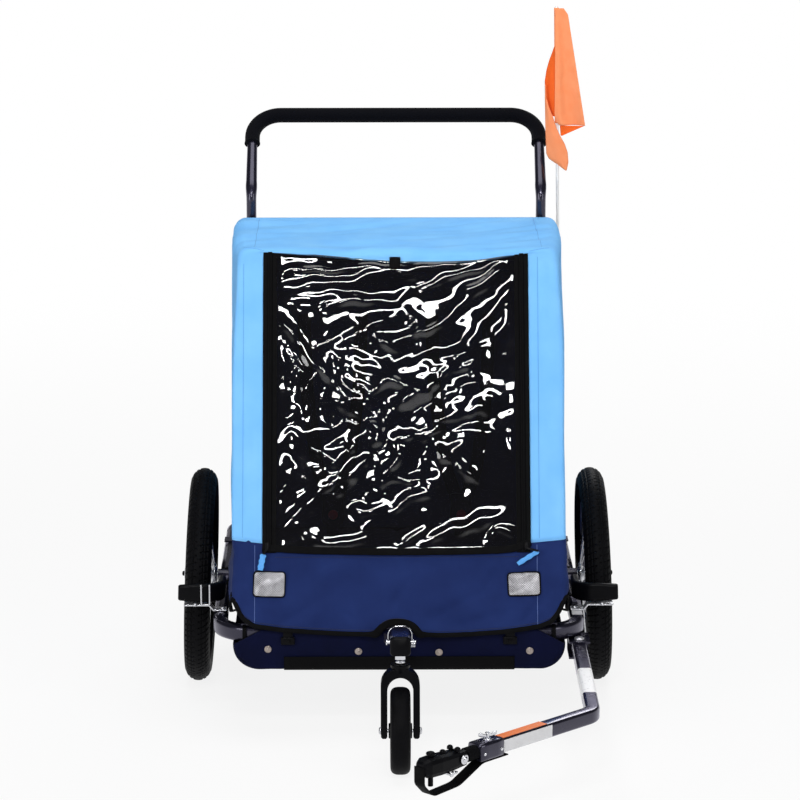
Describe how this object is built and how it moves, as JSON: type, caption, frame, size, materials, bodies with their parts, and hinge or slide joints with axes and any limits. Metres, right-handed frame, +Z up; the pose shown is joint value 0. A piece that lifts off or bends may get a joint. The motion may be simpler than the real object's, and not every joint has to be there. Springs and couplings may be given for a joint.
{
  "type": "child bike trailer",
  "caption": "Child bike trailer with a folding tube frame, zip-up fabric cabin, spoked wheels, front caster, push bar, hitch arm with coupler, and safety flag.",
  "frame": {"origin": "on the ground under the middle of the trailer's outline", "axes": "+X towards the side that carries the hitch arm and the flag, -Y forwards in the direction of travel, +Z up"},
  "size_m": [0.8156, 1.4974, 1.235],
  "materials": {
    "frame_paint": "satin",
    "zinc": "satin",
    "wheel_alloy": "satin",
    "tyre_rubber": "matte",
    "black_plastic": "satin",
    "grip_foam": "matte",
    "neck_rubber": "matte",
    "light_blue_cloth": "matte",
    "navy_cloth": "matte",
    "black_binding": "matte",
    "window_film": "gloss",
    "reflective_cloth": "satin",
    "pole_fibreglass": "satin",
    "flag_cloth": "satin"
  },
  "bodies": {
    "frame": {"front_rail": "frame_paint", "rear_rail": "frame_paint", "side_rail_left": "frame_paint", "side_rail_right": "frame_paint", "axle_crossbar": "frame_paint", "axle_left": "zinc", "axle_right": "zinc", "front_bracket_left": "frame_paint", "front_bracket_right": "frame_paint", "rear_bracket_left": "frame_paint", "rear_bracket_right": "frame_paint", "guard_left": "black_plastic", "guard_right": "black_plastic", "guard_strap_left": "zinc", "guard_strap_right": "zinc", "side_panel_left": "light_blue_cloth", "side_panel_right": "light_blue_cloth", "roof": "light_blue_cloth", "window_band": "black_binding", "window_pane": "window_film", "apron": "navy_cloth", "rear_panel": "navy_cloth", "reflector_left": "reflective_cloth", "reflector_right": "reflective_cloth", "floor_tub": "navy_cloth", "tub_strip": "black_plastic", "seat_base": "navy_cloth", "seat_back": "navy_cloth", "harness_left": "black_binding", "harness_right": "black_binding", "caster_receiver": "frame_paint", "caster_arm": "frame_paint", "caster_arm_cap": "black_plastic", "hitch_bracket": "frame_paint", "hitch_pivot": "zinc"},
    "wheel_left": {"wheel_left": "wheel_alloy", "tyre_left": "tyre_rubber"},
    "wheel_right": {"wheel_right": "wheel_alloy", "tyre_right": "tyre_rubber"},
    "button_left": {"release_button_left": "black_plastic"},
    "button_right": {"release_button_right": "black_plastic"},
    "front_hoop": {"front_hoop": "frame_paint"},
    "rear_hoop": {"rear_hoop": "frame_paint"},
    "push_bar": {"push_bar": "frame_paint", "push_bar_grip": "grip_foam"},
    "caster_swivel": {"caster_fork": "black_plastic", "caster_axle": "zinc"},
    "caster_wheel": {"caster_tyre": "tyre_rubber", "caster_hub": "black_plastic"},
    "lock_bail": {"caster_lock_pin": "zinc"},
    "hitch_arm": {"hitch_arm": "frame_paint", "coupler_sleeve": "frame_paint", "coupler_neck": "neck_rubber", "safety_strap": "black_binding"},
    "coupler": {"coupler_head": "black_plastic"},
    "drop_pin": {"hitch_pin": "zinc"},
    "flag": {"flag_pole": "pole_fibreglass", "flag": "flag_cloth"},
    "zip_left": {"zip_pull_left": "light_blue_cloth"},
    "zip_right": {"zip_pull_right": "light_blue_cloth"}
  },
  "joints": [
    {"name": "wheel_left_spin", "type": "hinge", "parent": "frame", "child": "wheel_left", "pos_m": [-0.369, 0.30462, 0.19989], "axis": [-0.9994, 0, 0.0349], "continuous": true},
    {"name": "wheel_right_spin", "type": "hinge", "parent": "frame", "child": "wheel_right", "pos_m": [0.369, 0.30462, 0.19989], "axis": [0.9994, 0, 0.0349], "continuous": true},
    {"name": "button_left_press", "type": "slide", "parent": "frame", "child": "button_left", "axis": [0.9994, 0, -0.0349], "range_m": [0, 0.004], "stiffness_N_per_m": 800},
    {"name": "button_right_press", "type": "slide", "parent": "frame", "child": "button_right", "axis": [-0.9994, 0, -0.0349], "range_m": [0, 0.004], "stiffness_N_per_m": 800},
    {"name": "frame_fold", "type": "hinge", "parent": "frame", "child": "rear_hoop", "pos_m": [0, 0.55662, 0.252], "axis": [1, 0, 0], "range_deg": [0, 89], "deforming": ["roof", "side_panel_left", "side_panel_right", "window_band", "window_pane", "apron", "rear_panel", "seat_back", "harness_left", "harness_right", "reflector_left", "reflector_right", "zip_pull_left", "zip_pull_right", "flag"]},
    {"name": "front_fold", "type": "hinge", "parent": "frame", "child": "front_hoop", "pos_m": [0, -0.04038, 0.224], "axis": [1, 0, 0], "range_deg": [-67.5, 0]},
    {"name": "push_bar_fold", "type": "hinge", "parent": "rear_hoop", "child": "push_bar", "pos_m": [0, 0.59462, 0.8], "axis": [-1, 0, 0], "range_deg": [0, 120]},
    {"name": "caster_swivel", "type": "hinge", "parent": "frame", "child": "caster_swivel", "pos_m": [0, -0.26038, 0.19], "axis": [0, 0, 1], "continuous": true},
    {"name": "caster_wheel_spin", "type": "hinge", "parent": "caster_swivel", "child": "caster_wheel", "pos_m": [0, -0.28538, 0.076], "axis": [1, 0, 0], "continuous": true},
    {"name": "lock_bail_swing", "type": "hinge", "parent": "frame", "child": "lock_bail", "pos_m": [0, -0.21538, 0.21533], "axis": [1, 0, 0], "range_deg": [-35, 35]},
    {"name": "hitch_arm_swing", "type": "hinge", "parent": "frame", "child": "hitch_arm", "pos_m": [0.323, -0.04238, 0.1539], "axis": [0, 0, 1], "range_deg": [-15, 90]},
    {"name": "coupler_tilt", "type": "hinge", "parent": "hitch_arm", "child": "coupler", "pos_m": [0.08824, -0.67814, 0.1539], "axis": [0.7071, -0.7071, 0], "range_deg": [-25, 25], "stiffness_Nm_per_rad": 2, "deforming": ["safety_strap"]},
    {"name": "drop_pin_lift", "type": "slide", "parent": "coupler", "child": "drop_pin", "axis": [0, 0, 1], "range_m": [0, 0.03]},
    {"name": "flag_lift", "type": "slide", "parent": "frame", "child": "flag", "axis": [-0.0155, 0, 0.9999], "range_m": [0, 0.06]},
    {"name": "zip_left_slide", "type": "slide", "parent": "frame", "child": "zip_left", "axis": [0, 0.3846, 0.9231], "range_m": [0, 0.51]},
    {"name": "zip_right_slide", "type": "slide", "parent": "frame", "child": "zip_right", "axis": [0, 0.3846, 0.9231], "range_m": [0, 0.51]}
  ],
  "couplings": [
    {"joint": "front_fold", "follows": "frame_fold", "ratio": -0.758}
  ]
}
